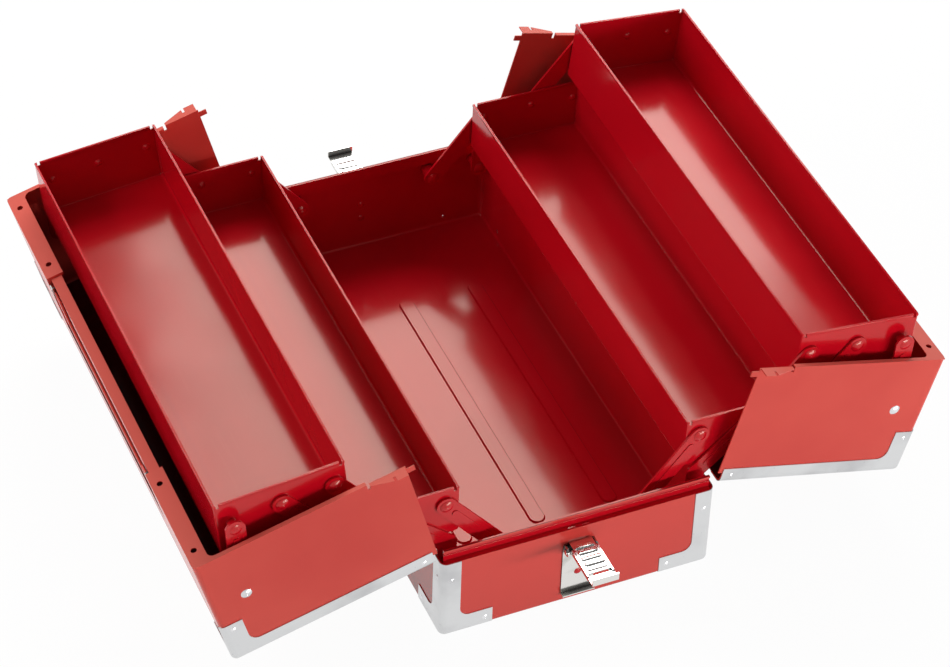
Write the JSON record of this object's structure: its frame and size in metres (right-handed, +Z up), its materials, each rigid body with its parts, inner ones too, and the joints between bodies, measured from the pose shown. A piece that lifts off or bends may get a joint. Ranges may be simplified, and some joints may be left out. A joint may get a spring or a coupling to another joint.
{
  "type": "cantilever tool box",
  "caption": "Red steel cantilever tool box: hinged lids swing apart and carry stepped trays on pivoting arms, with steel corner trims and draw latches at both ends.",
  "frame": {"origin": "centre of the base's flat underside, on the ground", "axes": "+Z up out of the box, X across it, the way its lids swing apart, Y along it; the end at -Y is the one that faces the camera"},
  "size_m": [0.5912, 0.5252, 0.1894],
  "materials": {
    "red_enamel": "glossy red enamel",
    "trim_steel": "satin bright steel",
    "latch_chrome": "nickel plated",
    "bright_rivet": "zinc plated"
  },
  "bodies": {
    "base": {"base_shell": "red_enamel", "base_trim_rivets": "trim_steel", "base_pivot_studs": "red_enamel", "hinge_pins": "bright_rivet", "latch_plate_rivets": "red_enamel", "latch_lever_pins": "latch_chrome", "hinge_leaf_base_right": "red_enamel", "base_corner_trim_front_right": "trim_steel", "base_corner_trim_rear_right": "trim_steel", "hinge_leaf_base_left": "red_enamel", "base_corner_trim_front_left": "trim_steel", "base_corner_trim_rear_left": "trim_steel", "latch_plate_front": "latch_chrome", "latch_plate_rear": "latch_chrome"},
    "lever_front": {"latch_lever_front": "latch_chrome", "latch_claw_pin_front": "latch_chrome"},
    "claw_front": {"latch_claw_front": "latch_chrome"},
    "lever_rear": {"latch_lever_rear": "latch_chrome", "latch_claw_pin_rear": "latch_chrome"},
    "claw_rear": {"latch_claw_rear": "latch_chrome"},
    "lid_right": {"lid_right": "red_enamel", "lid_corner_trim_front_right": "trim_steel", "lid_corner_trim_rear_right": "trim_steel", "lid_rivets_right": "trim_steel", "hinge_leaf_lid_right": "red_enamel", "lid_link_rivets_right": "bright_rivet", "handle_clips_right": "latch_chrome"},
    "handle_right": {"handle_right": "red_enamel"},
    "mid_tray_right": {"tray_mid_right": "red_enamel", "mid_tray_rivets_right": "red_enamel"},
    "top_tray_right": {"tray_top_right": "red_enamel", "top_tray_rivets_right": "red_enamel"},
    "short_lower_arms_right": {"short_arm_lower_front_right": "red_enamel", "short_arm_lower_rear_right": "red_enamel"},
    "long_arms_right": {"long_arm_front_right": "red_enamel", "long_arm_rear_right": "red_enamel"},
    "short_upper_arms_right": {"short_arm_upper_front_right": "red_enamel", "short_arm_upper_rear_right": "red_enamel"},
    "lid_links_right": {"lid_link_front_right": "red_enamel", "lid_link_rear_right": "red_enamel"},
    "lid_left": {"lid_left": "red_enamel", "lid_corner_trim_front_left": "trim_steel", "lid_corner_trim_rear_left": "trim_steel", "lid_rivets_left": "trim_steel", "hinge_leaf_lid_left": "red_enamel", "lid_link_rivets_left": "bright_rivet", "handle_clips_left": "latch_chrome"},
    "handle_left": {"handle_left": "red_enamel"},
    "mid_tray_left": {"tray_mid_left": "red_enamel", "mid_tray_rivets_left": "red_enamel"},
    "top_tray_left": {"tray_top_left": "red_enamel", "top_tray_rivets_left": "red_enamel"},
    "short_lower_arms_left": {"short_arm_lower_front_left": "red_enamel", "short_arm_lower_rear_left": "red_enamel"},
    "long_arms_left": {"long_arm_front_left": "red_enamel", "long_arm_rear_left": "red_enamel"},
    "short_upper_arms_left": {"short_arm_upper_front_left": "red_enamel", "short_arm_upper_rear_left": "red_enamel"},
    "lid_links_left": {"lid_link_front_left": "red_enamel", "lid_link_rear_left": "red_enamel"}
  },
  "joints": [
    {"name": "lid_right_swing", "type": "hinge", "parent": "base", "child": "lid_right", "pos_m": [0.11, 0, 0.076], "axis": [0, -1, 0], "range_deg": [0, 105.3]},
    {"name": "long_arms_right_turn", "type": "hinge", "parent": "base", "child": "long_arms_right", "pos_m": [0.09832, 0, 0.0642], "axis": [0, -1, 0], "range_deg": [-0.01, 79.53]},
    {"name": "short_lower_arms_right_turn", "type": "hinge", "parent": "base", "child": "short_lower_arms_right", "pos_m": [0.05727, 0, 0.065], "axis": [0, -1, 0], "range_deg": [-0.01, 81.37]},
    {"name": "mid_tray_right_level", "type": "hinge", "parent": "long_arms_right", "child": "mid_tray_right", "pos_m": [0.14173, 0, 0.11828], "axis": [0, -1, 0], "range_deg": [-78.6, 0.01]},
    {"name": "top_tray_right_level", "type": "hinge", "parent": "long_arms_right", "child": "top_tray_right", "pos_m": [0.18543, 0, 0.16928], "axis": [0, -1, 0], "range_deg": [-73.49, 0.01]},
    {"name": "short_upper_arms_right_turn", "type": "hinge", "parent": "mid_tray_right", "child": "short_upper_arms_right", "pos_m": [0.17892, 0, 0.11592], "axis": [0, -1, 0], "range_deg": [-0.01, 78.3]},
    {"name": "lid_links_right_turn", "type": "hinge", "parent": "lid_right", "child": "lid_links_right", "pos_m": [0.25692, 0, 0.1003], "axis": [0, -1, 0], "range_deg": [-0.01, 121.68]},
    {"name": "handle_right_raise", "type": "hinge", "parent": "lid_right", "child": "handle_right", "pos_m": [0.29108, 0, 0.1291], "axis": [0, -1, 0], "range_deg": [0, 100]},
    {"name": "lid_left_swing", "type": "hinge", "parent": "base", "child": "lid_left", "pos_m": [-0.11, 0, 0.076], "axis": [0, 1, 0], "range_deg": [0, 105.3]},
    {"name": "long_arms_left_turn", "type": "hinge", "parent": "base", "child": "long_arms_left", "pos_m": [-0.09832, 0, 0.0642], "axis": [0, 1, 0], "range_deg": [-0.01, 79.53]},
    {"name": "short_lower_arms_left_turn", "type": "hinge", "parent": "base", "child": "short_lower_arms_left", "pos_m": [-0.05727, 0, 0.065], "axis": [0, 1, 0], "range_deg": [-0.01, 81.37]},
    {"name": "mid_tray_left_level", "type": "hinge", "parent": "long_arms_left", "child": "mid_tray_left", "pos_m": [-0.14173, 0, 0.11828], "axis": [0, 1, 0], "range_deg": [-78.6, 0.01]},
    {"name": "top_tray_left_level", "type": "hinge", "parent": "long_arms_left", "child": "top_tray_left", "pos_m": [-0.18543, 0, 0.16928], "axis": [0, 1, 0], "range_deg": [-73.49, 0.01]},
    {"name": "short_upper_arms_left_turn", "type": "hinge", "parent": "mid_tray_left", "child": "short_upper_arms_left", "pos_m": [-0.17892, 0, 0.11592], "axis": [0, 1, 0], "range_deg": [-0.01, 78.3]},
    {"name": "lid_links_left_turn", "type": "hinge", "parent": "lid_left", "child": "lid_links_left", "pos_m": [-0.25692, 0, 0.1003], "axis": [0, 1, 0], "range_deg": [-0.01, 121.68]},
    {"name": "handle_left_raise", "type": "hinge", "parent": "lid_left", "child": "handle_left", "pos_m": [-0.29108, 0, 0.1291], "axis": [0, 1, 0], "range_deg": [0, 100]},
    {"name": "latch_front_lever", "type": "hinge", "parent": "base", "child": "lever_front", "pos_m": [0, -0.2205, 0.056], "axis": [1, 0, 0], "range_deg": [0, 90]},
    {"name": "latch_front_claw", "type": "hinge", "parent": "lever_front", "child": "claw_front", "pos_m": [0, -0.2265, 0.06], "axis": [1, 0, 0], "range_deg": [-180.01, 0.01]},
    {"name": "latch_rear_lever", "type": "hinge", "parent": "base", "child": "lever_rear", "pos_m": [0, 0.2205, 0.056], "axis": [-1, 0, 0], "range_deg": [0, 90]},
    {"name": "latch_rear_claw", "type": "hinge", "parent": "lever_rear", "child": "claw_rear", "pos_m": [0, 0.2265, 0.06], "axis": [-1, 0, 0], "range_deg": [-180.01, 0.01]}
  ],
  "couplings": [
    {"joint": "long_arms_right_turn", "follows": "lid_right_swing", "ratio": 0.75517},
    {"joint": "short_lower_arms_right_turn", "follows": "lid_right_swing", "ratio": 0.77261},
    {"joint": "mid_tray_right_level", "follows": "lid_right_swing", "ratio": -0.74633},
    {"joint": "top_tray_right_level", "follows": "lid_right_swing", "ratio": -0.69781},
    {"joint": "short_upper_arms_right_turn", "follows": "lid_right_swing", "ratio": 0.74349},
    {"joint": "lid_links_right_turn", "follows": "lid_right_swing", "ratio": 1.1554},
    {"joint": "long_arms_left_turn", "follows": "lid_left_swing", "ratio": 0.75517},
    {"joint": "short_lower_arms_left_turn", "follows": "lid_left_swing", "ratio": 0.77261},
    {"joint": "mid_tray_left_level", "follows": "lid_left_swing", "ratio": -0.74633},
    {"joint": "top_tray_left_level", "follows": "lid_left_swing", "ratio": -0.69781},
    {"joint": "short_upper_arms_left_turn", "follows": "lid_left_swing", "ratio": 0.74349},
    {"joint": "lid_links_left_turn", "follows": "lid_left_swing", "ratio": 1.1554},
    {"joint": "latch_front_claw", "follows": "latch_front_lever", "ratio": -2},
    {"joint": "latch_rear_claw", "follows": "latch_rear_lever", "ratio": -2}
  ]
}
